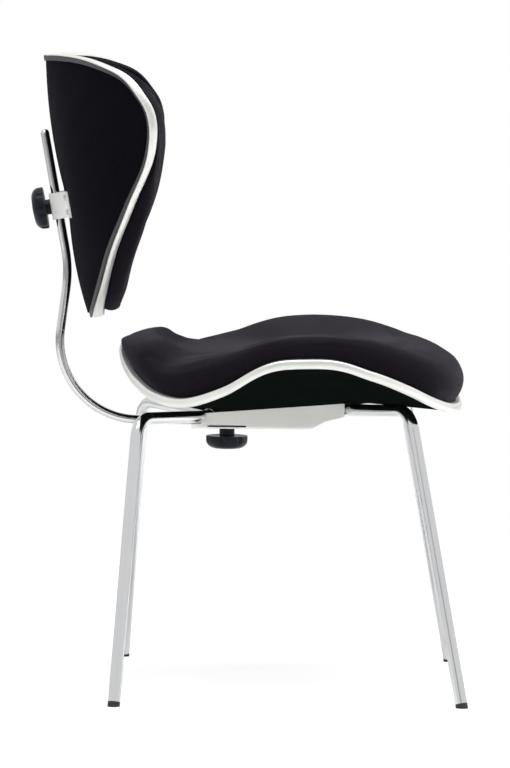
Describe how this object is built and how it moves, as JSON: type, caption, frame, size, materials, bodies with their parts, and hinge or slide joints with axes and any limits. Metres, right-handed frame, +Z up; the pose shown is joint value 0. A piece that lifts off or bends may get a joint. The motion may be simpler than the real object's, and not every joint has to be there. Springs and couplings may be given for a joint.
{
  "type": "office chair",
  "caption": "Upholstered office chair on bent tube legs, with a saddle seat, a wrapped backrest on a bent bar, and knob clamps for back height and back depth.",
  "frame": {"origin": "centre of the bounding box, on the floor", "axes": "+X forward, +Y to the sitter's left, +Z up"},
  "size_m": [0.5464, 0.5096, 0.7879],
  "materials": {
    "chrome": "polished",
    "satin_steel": "satin",
    "band_metal": "satin",
    "zinc": "satin",
    "brass": "satin",
    "knob_plastic": "satin",
    "foot_plastic": "matte",
    "guide_plastic": "matte",
    "shell_plastic": "matte",
    "shell_cover": "matte",
    "bead_rubber": "matte",
    "black_fabric": "matte"
  },
  "bodies": {
    "frame": {"seat_bracket": "satin_steel", "bracket_deck": "satin_steel", "bar_guide": "guide_plastic", "rear_leg_left": "chrome", "rear_leg_right": "chrome", "front_leg_left": "chrome", "front_leg_right": "chrome", "glide_rear_left": "foot_plastic", "glide_rear_right": "foot_plastic", "glide_front_left": "foot_plastic", "glide_front_right": "foot_plastic", "deck_screws": "zinc", "seat_clamp_nut": "zinc", "seat_shell": "shell_plastic", "seat_trim": "band_metal", "seat_gasket": "bead_rubber", "seat_cushion": "black_fabric"},
    "back_support": {"back_bar": "chrome"},
    "backrest": {"back_sleeve": "satin_steel", "sleeve_liner": "guide_plastic", "back_clamp_nut": "zinc", "sleeve_screws": "zinc", "back_shell": "shell_cover", "back_trim": "band_metal", "back_gasket": "bead_rubber", "back_cushion": "black_fabric"},
    "seat_pad": {"seat_clamp_pad": "brass"},
    "seat_screw": {"seat_knob": "knob_plastic", "seat_knob_stud": "zinc"},
    "back_pad": {"back_clamp_pad": "brass"},
    "back_screw": {"back_knob": "knob_plastic", "back_knob_stud": "zinc"}
  },
  "joints": [
    {"name": "back_depth", "type": "slide", "parent": "frame", "child": "back_support", "axis": [1, 0, 0], "range_m": [-0.025, 0.025]},
    {"name": "back_height", "type": "slide", "parent": "back_support", "child": "backrest", "axis": [-0.1822, 0, 0.9833], "range_m": [-0.02, 0.06]},
    {"name": "seat_pad_feed", "type": "slide", "parent": "frame", "child": "seat_pad", "axis": [0, 0, -1], "range_m": [0, 0.0016]},
    {"name": "seat_knob_turn", "type": "hinge", "parent": "seat_pad", "child": "seat_screw", "pos_m": [-0.025, 0, 0.31], "axis": [0, 0, -1], "range_deg": [0, 461]},
    {"name": "back_pad_feed", "type": "slide", "parent": "backrest", "child": "back_pad", "axis": [-0.9833, 0, -0.1822], "range_m": [0, 0.0016]},
    {"name": "back_knob_turn", "type": "hinge", "parent": "back_pad", "child": "back_screw", "pos_m": [-0.24473, 0, 0.59621], "axis": [-0.9833, 0, -0.1822], "range_deg": [0, 461]}
  ],
  "couplings": [
    {"joint": "seat_knob_turn", "follows": "seat_pad_feed", "rad_per_m": 5026.6},
    {"joint": "back_knob_turn", "follows": "back_pad_feed", "rad_per_m": 5026.6}
  ]
}
